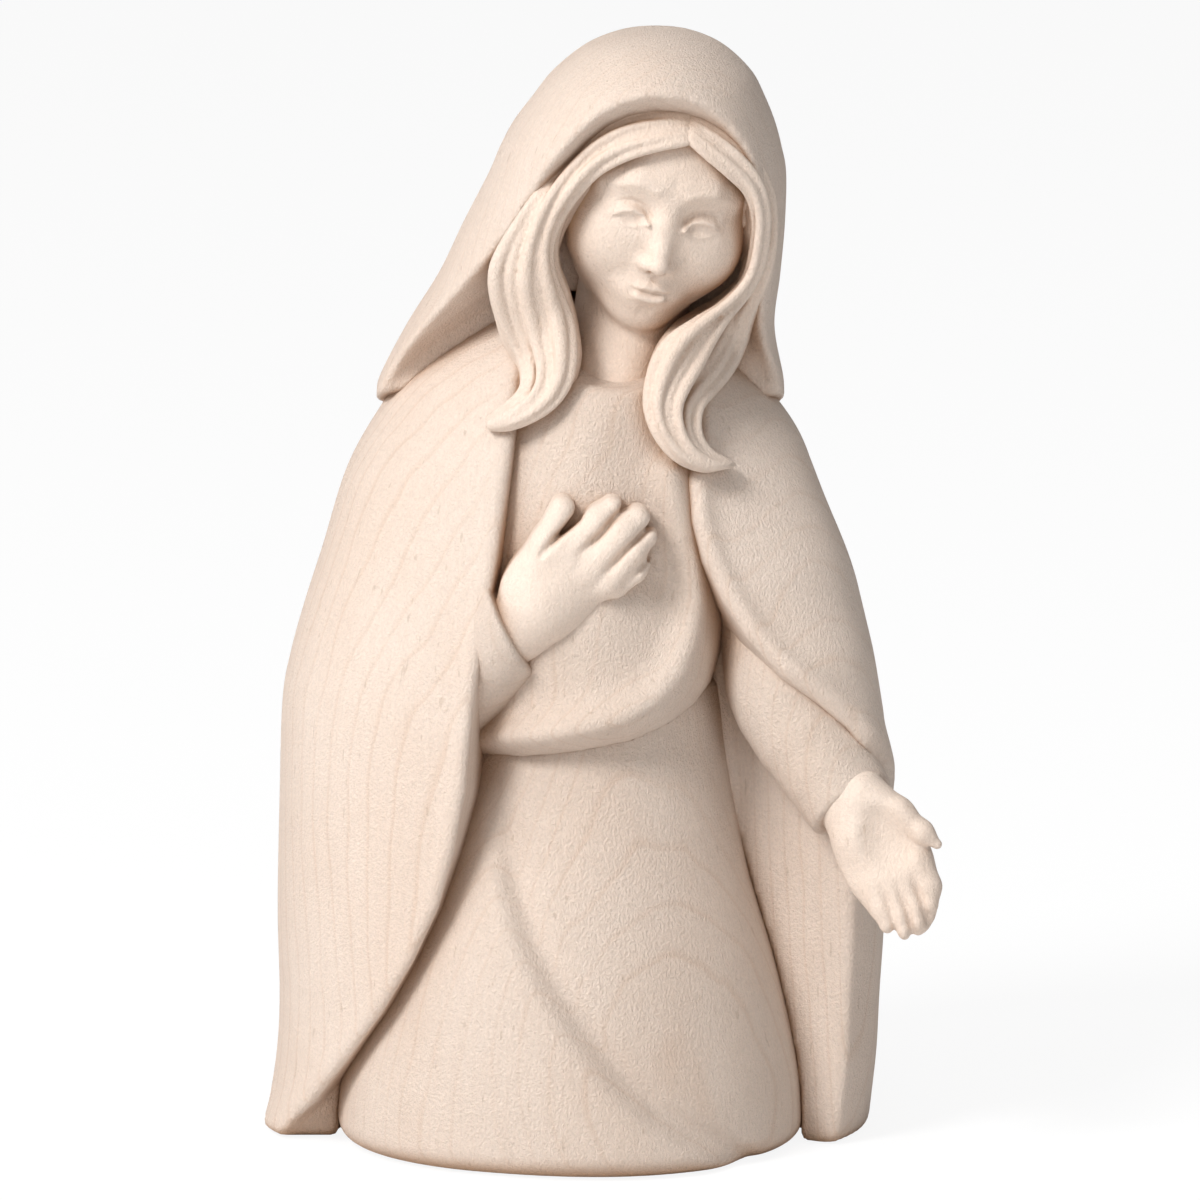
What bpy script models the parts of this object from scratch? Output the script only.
"""A kneeling madonna in natural maple, built as a carver's shop builds a figure from blocks:
mantle, veil, gown, head, hair, sleeves and hands are carved apart and joined with glued dowels.

Frame: metres, +Z up, the figure looks along -Y, the origin is on the flat underside of the base.
Every size below is in millimetres and is multiplied by MM where a mesh is made.
"""

import math

import bmesh
import bpy
from mathutils import Matrix, Vector

MM = 0.001

# Driving dimensions of the figure
HEIGHT = 100.0
JOINT_GAP = 0.32
RING_POINTS = 32
LEVELS_PER_SPAN = 2
TEMPLATE_TILT = math.radians(10.0)  # the outlines of veil and mantle are sawn on this slope
TEMPLATE_FRONT_Y = -60.0
MANTLE_RECESS_Y = -3.0
VEIL_RECESS_Y = -6.5

# Blocks, as levels of (z, centre x, centre y, half width, front depth, back depth)
MANTLE_LEVELS = (
    (0.0, -0.9, 0.0, 27.4, 20.6, 24.0),
    (7.0, 0.1, 0.0, 26.9, 21.2, 23.4),
    (18.0, 0.6, 0.0, 27.3, 21.6, 22.2),
    (31.0, 0.6, 0.0, 27.3, 21.2, 20.8),
    (43.0, 0.6, 0.0, 26.0, 19.8, 19.4),
    (53.0, 0.5, 0.0, 23.3, 17.6, 18.0),
    (60.5, 0.5, 0.0, 20.4, 15.4, 16.4),
    (65.5, 0.6, 0.4, 17.0, 13.4, 14.6),
    (69.5, 0.8, 0.8, 11.5, 10.2, 11.0),
    (71.3, 1.0, 1.0, 5.0, 5.5, 6.0),
)
VEIL_LEVELS = (
    (61.5, 0.4, 0.2, 19.9, 16.0, 18.2),
    (66.0, 0.5, 0.0, 18.5, 15.4, 17.2),
    (70.5, 0.9, -0.6, 17.5, 15.0, 16.4),
    (76.0, 2.6, -1.4, 15.8, 15.0, 15.4),
    (82.0, 4.4, -2.3, 14.4, 15.2, 14.6),
    (88.0, 5.8, -3.2, 13.0, 16.0, 13.6),
    (93.0, 6.6, -3.8, 10.9, 15.6, 11.8),
    (96.8, 7.0, -4.0, 8.2, 12.6, 9.0),
    (99.2, 7.2, -3.6, 4.8, 7.6, 5.4),
    (HEIGHT, 7.2, -3.4, 1.6, 2.6, 2.0),
)
SKIRT_LEVELS = (
    (0.0, -0.4, -6.0, 20.6, 18.6, 12.0),
    (1.6, -0.4, -6.0, 21.4, 19.6, 12.6),
    (8.0, -0.3, -6.0, 20.8, 19.3, 12.4),
    (16.0, 0.0, -5.6, 18.7, 18.2, 11.6),
    (24.0, 0.4, -5.0, 15.8, 16.0, 10.6),
    (31.0, 1.0, -4.5, 13.2, 12.8, 9.6),
    (36.2, 1.7, -4.0, 11.0, 10.4, 8.6),
)
BODICE_LEVELS = (
    (36.6, 1.9, -4.0, 10.4, 11.6, 8.2),
    (38.8, 1.9, -4.0, 11.8, 13.8, 8.6),
    (43.0, 2.0, -4.0, 12.4, 14.4, 8.6),
    (50.0, 2.0, -3.9, 11.8, 13.0, 8.4),
    (57.0, 2.1, -3.6, 11.0, 11.8, 8.0),
    (63.0, 2.3, -3.2, 9.8, 10.6, 7.6),
    (68.0, 2.8, -3.2, 7.6, 9.6, 6.8),
    (70.0, 3.2, -3.4, 5.4, 8.4, 5.4),
)

# Sawn outlines on the tilted template, (x, height on the template)
MANTLE_OPENING = (
    (-2.0, 72.0), (-5.0, 66.0), (-5.7, 60.5), (-6.4, 55.0), (-7.2, 49.5), (-8.2, 43.0),
    (-9.2, 35.5), (-9.7, 29.5), (-11.0, 24.0), (-13.2, 17.5), (-17.0, 10.5), (-22.0, 4.0),
    (-27.5, -1.0), (-30.0, -9.0), (36.0, -9.0), (36.0, 28.0), (28.2, 30.0), (25.0, 35.0),
    (20.5, 38.8), (15.6, 43.8), (12.4, 48.3), (10.8, 53.0), (10.4, 57.5), (11.0, 62.0), (9.0, 72.0),
)
VEIL_OPENING = (
    (-22.0, 62.5), (-17.3, 66.2), (-13.8, 69.6), (-10.2, 74.6), (-7.0, 80.2), (-3.8, 85.6),
    (-0.4, 89.6), (3.8, 92.2), (8.4, 93.1), (12.8, 92.2), (15.8, 89.6), (17.6, 86.0),
    (18.2, 79.0), (17.4, 73.4), (17.8, 69.0), (19.8, 64.5), (30.0, 58.0), (30.0, 40.0), (-22.0, 40.0),
)

# Head: its centre, how it is turned, bowed and tilted, and its two main masses
HEAD_CENTRE = Vector((7.3, -6.0, 86.0))
HEAD_TURN = math.radians(9.0)
HEAD_BOW = math.radians(15.0)
HEAD_LEAN = math.radians(11.0)
CRANIUM_RADII = (7.9, 8.4, 8.8)
JAW_RADII = (6.4, 6.2, 8.0)
HAIR_THICKNESS = 1.4
HAIRLINE_RADII = (7.2, 8.0, 10.2)

# Arms, from elbow to cuff, and hands, from wrist to fingertips
SLEEVE_RIGHT = (((-14.0, -8.0, 38.0), 4.4), ((-9.8, -11.8, 42.2), 4.4), ((-5.4, -15.8, 47.2), 4.0))
SLEEVE_LEFT = (((15.8, -4.6, 48.0), 4.6), ((19.4, -8.4, 41.2), 4.6), ((24.4, -13.4, 33.4), 4.3))
MANTLE_ARM = (
    ((15.0, -4.0, 60.0), 4.6), ((17.6, -6.4, 52.0), 6.2), ((20.2, -8.6, 44.0), 6.8),
    ((22.6, -9.8, 38.5), 6.6), ((24.2, -9.4, 32.0), 5.0), ((24.4, -6.0, 26.0), 2.4),
)
HAND_RIGHT_WRIST = Vector((-5.2, -16.2, 47.4))
HAND_RIGHT_TIPS = Vector((4.9, -17.8, 58.8))
HAND_RIGHT_BACK = Vector((-0.1, -1.0, 0.0))
HAND_LEFT_WRIST = Vector((24.6, -13.6, 33.0))
HAND_LEFT_TIPS = Vector((30.4, -17.8, 20.6))
HAND_LEFT_BACK = Vector((-0.15, 1.0, -0.35))
DOWEL_RADIUS_WRIST = 1.1
DOWEL_RADIUS_BODY = 2.2

WOOD_TONES = {
    "mantle": (0.80, 0.66, 0.52),
    "veil": (0.82, 0.68, 0.54),
    "gown": (0.77, 0.63, 0.49),
    "skin": (0.80, 0.66, 0.51),
    "hair": (0.78, 0.63, 0.48),
    "dowel": (0.62, 0.43, 0.27),
}


# --- scene helpers ---------------------------------------------------------------------------


def clear_scene():
    for obj in list(bpy.data.objects):
        bpy.data.objects.remove(obj)


def collection(name):
    made = bpy.data.collections.new(name)
    bpy.context.scene.collection.children.link(made)
    return made


def wood(name, tone, roughness=0.62):
    made = bpy.data.materials.new(name)
    made.use_nodes = True
    shader = made.node_tree.nodes["Principled BSDF"]
    shader.inputs["Base Color"].default_value = (*tone, 1.0)
    shader.inputs["Roughness"].default_value = roughness
    shader.inputs["Metallic"].default_value = 0.0
    return made


def place(mesh, name, where):
    obj = bpy.data.objects.new(name, mesh)
    where.objects.link(obj)
    return obj


def helper(mesh, name):
    """A cutter or a construction body: it never becomes a node."""
    obj = place(mesh, name, HELPERS)
    obj.hide_render = True
    obj.display_type = "WIRE"
    return obj


def baked(obj, name):
    """A copy of the object's evaluated mesh, welded, in world space."""
    bpy.context.view_layer.update()
    graph = bpy.context.evaluated_depsgraph_get()
    mesh = bpy.data.meshes.new_from_object(obj.evaluated_get(graph))
    mesh.name = name
    mesh.transform(obj.matrix_world)
    work = bmesh.new()
    work.from_mesh(mesh)
    bmesh.ops.remove_doubles(work, verts=work.verts, dist=0.002 * MM)
    bmesh.ops.recalc_face_normals(work, faces=work.faces)
    work.to_mesh(mesh)
    work.free()
    return mesh


def finish(obj, tone):
    """Gives a node its wood and smooth shading with crisp carved edges."""
    obj.data.materials.clear()
    obj.data.materials.append(MATERIALS[tone])
    obj.data.shade_smooth()
    obj.data.set_sharp_from_angle(angle=math.radians(40.0))
    return obj


# --- shapes -----------------------------------------------------------------------------------


def between(levels, count):
    """Levels with Catmull-Rom steps between them, so that the loft runs smoothly through them."""
    rows = []
    last = len(levels) - 1
    for i in range(last):
        p0, p1, p2, p3 = (levels[max(0, min(last, i + k))] for k in (-1, 0, 1, 2))
        for step in range(count):
            t = step / count
            rows.append(tuple(
                0.5 * (2 * b + (c - a) * t + (2 * a - 5 * b + 4 * c - d) * t**2 + (3 * b - a - 3 * c + d) * t**3)
                for a, b, c, d in zip(p0, p1, p2, p3)
            ))
    rows.append(levels[last])
    return rows


def loft(name, levels, grow=0.0):
    """A closed body skinned over oval rings. grow makes it that much larger all round."""
    work = bmesh.new()
    rows = between(levels, LEVELS_PER_SPAN)
    rings = []
    for index, (z, cx, cy, half_width, front, back) in enumerate(rows):
        if index == 0:
            z -= grow
        if index == len(rows) - 1:
            z += grow
        ring = []
        for k in range(RING_POINTS):
            turn = 2 * math.pi * k / RING_POINTS
            depth = back if math.sin(turn) > 0 else front
            ring.append(work.verts.new((
                (cx + (half_width + grow) * math.cos(turn)) * MM,
                (cy + (depth + grow) * math.sin(turn)) * MM,
                z * MM,
            )))
        rings.append(ring)
    for lower, upper in zip(rings, rings[1:]):
        for k in range(RING_POINTS):
            j = (k + 1) % RING_POINTS
            work.faces.new((lower[k], lower[j], upper[j], upper[k]))
    work.faces.new(list(reversed(rings[0])))
    work.faces.new(rings[-1])
    mesh = bpy.data.meshes.new(name)
    work.to_mesh(mesh)
    work.free()
    return mesh


def ball(name, centre, radii, turn=Matrix.Identity(3), fineness=3):
    """An ellipsoid on an icosphere."""
    mesh = bpy.data.meshes.new(name)
    work = bmesh.new()
    bmesh.ops.create_icosphere(work, subdivisions=fineness, radius=1.0)
    work.to_mesh(mesh)
    work.free()
    mesh.transform(
        Matrix.Translation(Vector(centre) * MM) @ turn.to_4x4() @ Matrix.Diagonal((*(r * MM for r in radii), 1.0))
    )
    return mesh


def cylinder(name, start, end, radius, sides=16):
    """A round bar from start to end."""
    start, end = Vector(start), Vector(end)
    mesh = bpy.data.meshes.new(name)
    work = bmesh.new()
    bmesh.ops.create_cone(
        work, cap_ends=True, segments=sides, radius1=radius * MM, radius2=radius * MM, depth=(end - start).length * MM
    )
    work.to_mesh(mesh)
    work.free()
    mesh.transform(
        Matrix.Translation((start + end) / 2 * MM) @ (end - start).to_track_quat("Z", "Y").to_matrix().to_4x4()
    )
    return mesh


def rod(name, path, resolution=3):
    """A round bar through (point, radius) pairs, as a bevelled curve made into a mesh."""
    curve = bpy.data.curves.new(name, "CURVE")
    curve.dimensions = "3D"
    curve.bevel_depth = MM
    curve.bevel_resolution = resolution
    curve.use_fill_caps = True
    spline = curve.splines.new("POLY")
    spline.points.add(len(path) - 1)
    for point, (where, radius) in zip(spline.points, path):
        point.co = (*(Vector(where) * MM), 1.0)
        point.radius = radius
    obj = helper(curve, name)
    mesh = baked(obj, name)
    bpy.data.objects.remove(obj)
    return mesh


def on_saw_line(x, height, y):
    """The point at depth y on the saw's line through (x, height) of the tilted template."""
    return Vector((x, y, (height - y * math.sin(TEMPLATE_TILT)) / math.cos(TEMPLATE_TILT))) * MM


def sawn_cutter(name, outline, recess_y):
    """The outline sawn in from the front of the figure, down to the recess's flat floor."""
    work = bmesh.new()
    near = [work.verts.new(on_saw_line(x, h, TEMPLATE_FRONT_Y)) for x, h in outline]
    far = [work.verts.new(on_saw_line(x, h, recess_y)) for x, h in outline]
    work.faces.new(near)
    work.faces.new(list(reversed(far)))
    for k in range(len(outline)):
        j = (k + 1) % len(outline)
        work.faces.new((near[j], near[k], far[k], far[j]))
    bmesh.ops.recalc_face_normals(work, faces=work.faces)
    mesh = bpy.data.meshes.new(name)
    work.to_mesh(mesh)
    work.free()
    return helper(mesh, name)


def fused(name, meshes, voxel, faces):
    """Several shapes carved as one: joined, remeshed, smoothed and thinned to about that many triangles."""
    work = bmesh.new()
    for mesh in meshes:
        work.from_mesh(mesh)
    joined = bpy.data.meshes.new(name + "_parts")
    work.to_mesh(joined)
    work.free()
    obj = helper(joined, name + "_parts")
    remesh = obj.modifiers.new("remesh", "REMESH")
    remesh.mode = "VOXEL"
    remesh.voxel_size = voxel * MM
    soften = obj.modifiers.new("soften", "SMOOTH")
    soften.iterations = 3
    whole = baked(obj, name + "_whole")
    bpy.data.objects.remove(obj)
    dense = helper(whole, name + "_dense")
    triangulate = dense.modifiers.new("triangles", "TRIANGULATE")
    triangulate.quad_method = "FIXED"
    thin = dense.modifiers.new("thin", "DECIMATE")
    thin.ratio = min(1.0, faces / (2.0 * max(1, len(whole.polygons))))
    made = baked(dense, name)
    bpy.data.objects.remove(dense)
    return made


def grown(obj, amount=JOINT_GAP):
    """A slightly larger copy of a piece, the pocket that its neighbour is cut with."""
    mesh = baked(obj, obj.name + "_pocket")
    normals = [v.normal.copy() for v in mesh.vertices]
    for vertex, normal in zip(mesh.vertices, normals):
        vertex.co += normal * amount * MM
    return helper(mesh, obj.name + "_pocket")


def cut(obj, *cutters):
    """Takes each cutter out of the piece."""
    for cutter in cutters:
        step = obj.modifiers.new("cut_" + cutter.name, "BOOLEAN")
        step.operation = "DIFFERENCE"
        step.solver = "EXACT"
        step.object = cutter
    return obj


def head_axes():
    """Columns: the head's own left-right, up and forward axes."""
    turned = Matrix.Rotation(HEAD_TURN, 3, "Z")
    bowed = Matrix.Rotation(HEAD_BOW, 3, "X")
    leant = Matrix.Rotation(HEAD_LEAN, 3, "Y")
    square = Matrix(((1, 0, 0), (0, 0, -1), (0, 1, 0)))
    return turned @ leant @ bowed @ square


def in_head(right, up, forward):
    return HEAD_CENTRE + head_axes() @ Vector((right, up, forward))


# --- pieces -----------------------------------------------------------------------------------


def make_dowels():
    """The four glued pins: waist, neck and one in each wrist."""
    pins = {
        "waist_dowel": ((1.6, -4.0, 27.0), (1.6, -4.0, 46.0), DOWEL_RADIUS_BODY),
        "neck_dowel": ((3.4, -3.6, 57.0), (4.6, -4.4, 77.0), DOWEL_RADIUS_BODY),
        "wrist_dowel_right": (
            HAND_RIGHT_WRIST.lerp(Vector(SLEEVE_RIGHT[1][0]), 0.75),
            HAND_RIGHT_WRIST.lerp(HAND_RIGHT_TIPS, 0.30),
            DOWEL_RADIUS_WRIST,
        ),
        "wrist_dowel_left": (
            HAND_LEFT_WRIST.lerp(Vector(SLEEVE_LEFT[1][0]), 0.60),
            HAND_LEFT_WRIST.lerp(HAND_LEFT_TIPS, 0.30),
            DOWEL_RADIUS_WRIST,
        ),
    }
    made = {}
    for name, (start, end, radius) in pins.items():
        made[name] = finish(place(cylinder(name, start, end, radius), name, PARTS), "dowel")
    return made


def make_head():
    """Face, skull and neck in one piece, with the neck's tenon going into the bodice."""
    turn = head_axes()
    masses = [
        ball("cranium", in_head(0.0, 1.2, -0.8), CRANIUM_RADII, turn, 4),
        ball("jaw", in_head(0.0, -3.6, 1.6), JAW_RADII, turn, 4),
        ball("chin", in_head(0.0, -8.2, 5.4), (2.4, 2.2, 2.4), turn),
        ball("nose", in_head(0.0, -2.4, 9.0), (1.2, 2.6, 1.7), turn),
        rod("neck", (((3.4, -4.6, 66.5), 4.6), ((4.4, -5.6, 73.0), 4.4), (in_head(0.0, -4.0, -1.0), 5.0)), 5),
    ]
    return finish(place(fused("head", masses, 0.5, 900), "head", PARTS), "skin")


def hair_ball(name, grow=0.0):
    """The whole rounded mass of hair around the skull."""
    radii = [r + HAIR_THICKNESS + grow for r in CRANIUM_RADII]
    return ball(name, in_head(0.0, 1.2, -0.8), radii, head_axes())


def make_hair_crown():
    """The combed hair over the skull, open at the face."""
    turn = head_axes()
    crown = place(hair_ball("hair_crown"), "hair_crown", PARTS)
    opening = helper(ball("face_opening", in_head(0.0, -3.4, 7.2), HAIRLINE_RADII, turn), "face_opening")
    nape = helper(ball("nape", in_head(0.0, -14.5, -2.0), (12.0, 9.0, 12.0), turn), "nape")
    return finish(cut(crown, opening, nape), "hair")


def lock(name, path):
    """One wavy lock through (x, y, z, radius) points."""
    return rod(name, tuple((Vector(p[:3]), p[3]) for p in between(path, 3)), 3)


def between_rods(path):
    """The same (point, radius) path with smooth steps put in."""
    return tuple((Vector(p[:3]), p[3]) for p in between([(*point, radius) for point, radius in path], 2))


def make_hair_fall(side, locks):
    """The locks on one side of the face, carved together."""
    name = "hair_fall_" + side
    strands = [lock(f"{name}_{k}", path) for k, path in enumerate(locks)]
    return finish(place(fused(name, strands, 0.5, 760), name, PARTS), "hair")


HAIR_RIGHT_LOCKS = (
    ((1.6, -11.0, 91.6, 1.4), (-2.8, -10.4, 87.6, 2.1), (-5.4, -10.2, 82.4, 2.4), (-6.0, -11.0, 77.0, 2.4), (-4.4, -12.6, 72.6, 2.3),
     (-2.6, -14.0, 69.4, 2.2), (-3.4, -15.0, 66.2, 1.7), (-6.6, -15.4, 64.8, 0.7)),
    ((2.2, -13.6, 90.0, 0.9), (-0.8, -12.6, 85.6, 1.5), (-2.4, -12.4, 80.6, 1.7), (-1.6, -13.4, 75.6, 1.7), (-0.2, -14.6, 71.8, 1.7),
     (0.0, -15.6, 68.4, 1.6), (-2.2, -16.0, 65.4, 1.3), (-5.0, -16.2, 63.8, 0.6)),
)
HAIR_LEFT_LOCKS = (
    ((14.0, -12.2, 90.4, 1.0), (16.0, -12.2, 86.0, 1.6), (16.2, -12.8, 80.8, 1.8), (14.4, -13.8, 76.2, 1.8), (11.0, -15.0, 72.6, 1.8),
     (8.2, -16.0, 69.2, 1.7), (7.4, -16.6, 65.6, 1.6), (9.4, -17.0, 62.6, 1.4), (12.6, -16.8, 61.2, 0.6)),
    ((15.2, -8.6, 89.6, 1.2), (17.0, -8.6, 84.6, 1.7), (16.8, -9.6, 78.8, 1.8), (15.2, -11.2, 74.2, 1.8), (12.4, -13.0, 70.6, 2.0),
     (10.8, -14.6, 67.2, 1.9), (11.4, -15.4, 64.0, 1.3), (13.4, -15.4, 62.0, 0.6)),
)


def make_hand(name, wrist, tips, back, thumb_side):
    """Palm, four closed fingers and a thumb. thumb_side is +1 where the thumb lies on +X of the hand's own axes."""
    along = (tips - wrist).normalized()
    across = along.cross(back).normalized() * thumb_side
    outward = across.cross(along).normalized() * thumb_side
    length = (tips - wrist).length

    def at(forward, sideways, out):
        return wrist + along * forward * length + across * sideways + outward * out

    turn = Matrix((across, along, outward)).transposed()
    shapes = [
        ball(name + "_palm", at(0.36, 0.0, 0.0), (3.3, 4.6, 1.9), turn),
        rod(name + "_wrist", ((at(-0.05, 0.0, 0.0), 2.1), (at(0.25, 0.0, 0.0), 2.4))),
        rod(name + "_thumb", ((at(0.22, 2.0, 0.2), 1.3), (at(0.48, 3.9, 0.7), 1.15), (at(0.72, 4.2, 1.0), 0.75))),
    ]
    for k, (side, reach) in enumerate(((2.3, 0.94), (0.85, 1.0), (-0.65, 0.97), (-2.1, 0.86))):
        shapes.append(rod(
            f"{name}_finger_{k}",
            ((at(0.45, side * 1.05, 0.3), 1.15), (at(0.72, side, 0.3), 1.05), (at(reach, side * 0.9, -0.4), 0.8)),
        ))
    return finish(place(fused(name, shapes, 0.35, 680), name, PARTS), "skin")


def make_sleeve(side, path):
    """One forearm sleeve, a round bar that widens at the elbow."""
    name = "sleeve_" + side
    return finish(place(rod(name, path, 5), name, PARTS), "gown")


def make_gown():
    """The skirt block and the bodice block that sits on it."""
    skirt = finish(place(loft("skirt", SKIRT_LEVELS), "skirt", PARTS), "gown")
    bodice = finish(place(loft("bodice", BODICE_LEVELS), "bodice", PARTS), "gown")
    return skirt, bodice


def make_mantle():
    """The cloak block: an oval body, swelling over the left arm, opened at the front."""
    mantle = place(loft("mantle", MANTLE_LEVELS), "mantle", PARTS)
    over_arm = mantle.modifiers.new("over_arm", "BOOLEAN")
    over_arm.operation = "UNION"
    over_arm.solver = "EXACT"
    over_arm.object = helper(rod("mantle_arm", between_rods(MANTLE_ARM), 3), "mantle_arm")
    cut(mantle, sawn_cutter("mantle_opening", MANTLE_OPENING, MANTLE_RECESS_Y))
    return finish(mantle, "mantle")


def make_veil():
    veil = place(loft("veil", VEIL_LEVELS), "veil", PARTS)
    cut(veil, sawn_cutter("veil_opening", VEIL_OPENING, VEIL_RECESS_Y))
    return finish(veil, "veil")


def settle(obj):
    """Replaces a piece's live cuts by their result, so that later pockets start from a plain mesh."""
    mesh = baked(obj, obj.name)
    materials = list(obj.data.materials)
    obj.modifiers.clear()
    obj.data = mesh
    obj.data.materials.clear()
    for material in materials:
        obj.data.materials.append(material)
    obj.data.set_sharp_from_angle(angle=math.radians(40.0))
    return obj


def main():
    dowels = make_dowels()
    pins = {name: grown(pin) for name, pin in dowels.items()}
    hand_right = make_hand("hand_right", HAND_RIGHT_WRIST, HAND_RIGHT_TIPS, HAND_RIGHT_BACK, 1.0)
    hand_left = make_hand("hand_left", HAND_LEFT_WRIST, HAND_LEFT_TIPS, HAND_LEFT_BACK, -1.0)
    pockets = {obj.name: grown(obj) for obj in (hand_right, hand_left)}
    settle(cut(hand_right, pins["wrist_dowel_right"]))
    settle(cut(hand_left, pins["wrist_dowel_left"]))

    sleeve_right = make_sleeve("right", SLEEVE_RIGHT)
    sleeve_left = make_sleeve("left", SLEEVE_LEFT)
    pockets.update({obj.name: grown(obj) for obj in (sleeve_right, sleeve_left)})
    settle(cut(sleeve_right, pockets["hand_right"], pins["wrist_dowel_right"]))
    settle(cut(sleeve_left, pockets["hand_left"], pins["wrist_dowel_left"]))

    head = make_head()
    pockets["head"] = grown(head)
    settle(cut(head, pins["neck_dowel"]))
    crown = settle(cut(make_hair_crown(), pockets["head"]))
    pockets["hair_crown"] = grown(crown)
    falls = [
        settle(cut(make_hair_fall(side, locks), pockets["head"], pockets["hair_crown"]))
        for side, locks in (("right", HAIR_RIGHT_LOCKS), ("left", HAIR_LEFT_LOCKS))
    ]
    pockets.update({fall.name: grown(fall) for fall in falls})

    skirt, bodice = make_gown()
    hair = [pockets["hair_fall_right"], pockets["hair_fall_left"]]
    arms = [pockets[name] for name in ("sleeve_right", "sleeve_left", "hand_right", "hand_left")]
    pockets["skirt"] = helper(loft("skirt_pocket", SKIRT_LEVELS, JOINT_GAP), "skirt_pocket")
    pockets["bodice"] = helper(loft("bodice_pocket", BODICE_LEVELS, JOINT_GAP), "bodice_pocket")
    settle(cut(skirt, pins["waist_dowel"], *arms[:2]))
    settle(cut(bodice, pins["waist_dowel"], pins["neck_dowel"], pockets["head"], *hair, *arms[:3]))

    mantle = make_mantle()
    settle(mantle)
    pockets["mantle"] = grown(mantle)
    settle(cut(mantle, pockets["skirt"], pockets["bodice"], pockets["head"], *hair, *arms))
    veil = settle(make_veil())
    pockets["hair"] = helper(hair_ball("hair_pocket", JOINT_GAP), "hair_pocket")
    settle(cut(veil, pockets["mantle"], pockets["bodice"], pockets["head"], pockets["hair"], *hair))


clear_scene()
PARTS = collection("kneeling_madonna")
HELPERS = collection("cutters_and_pockets")
MATERIALS = {name: wood(name + "_wood", tone) for name, tone in WOOD_TONES.items()}
main()
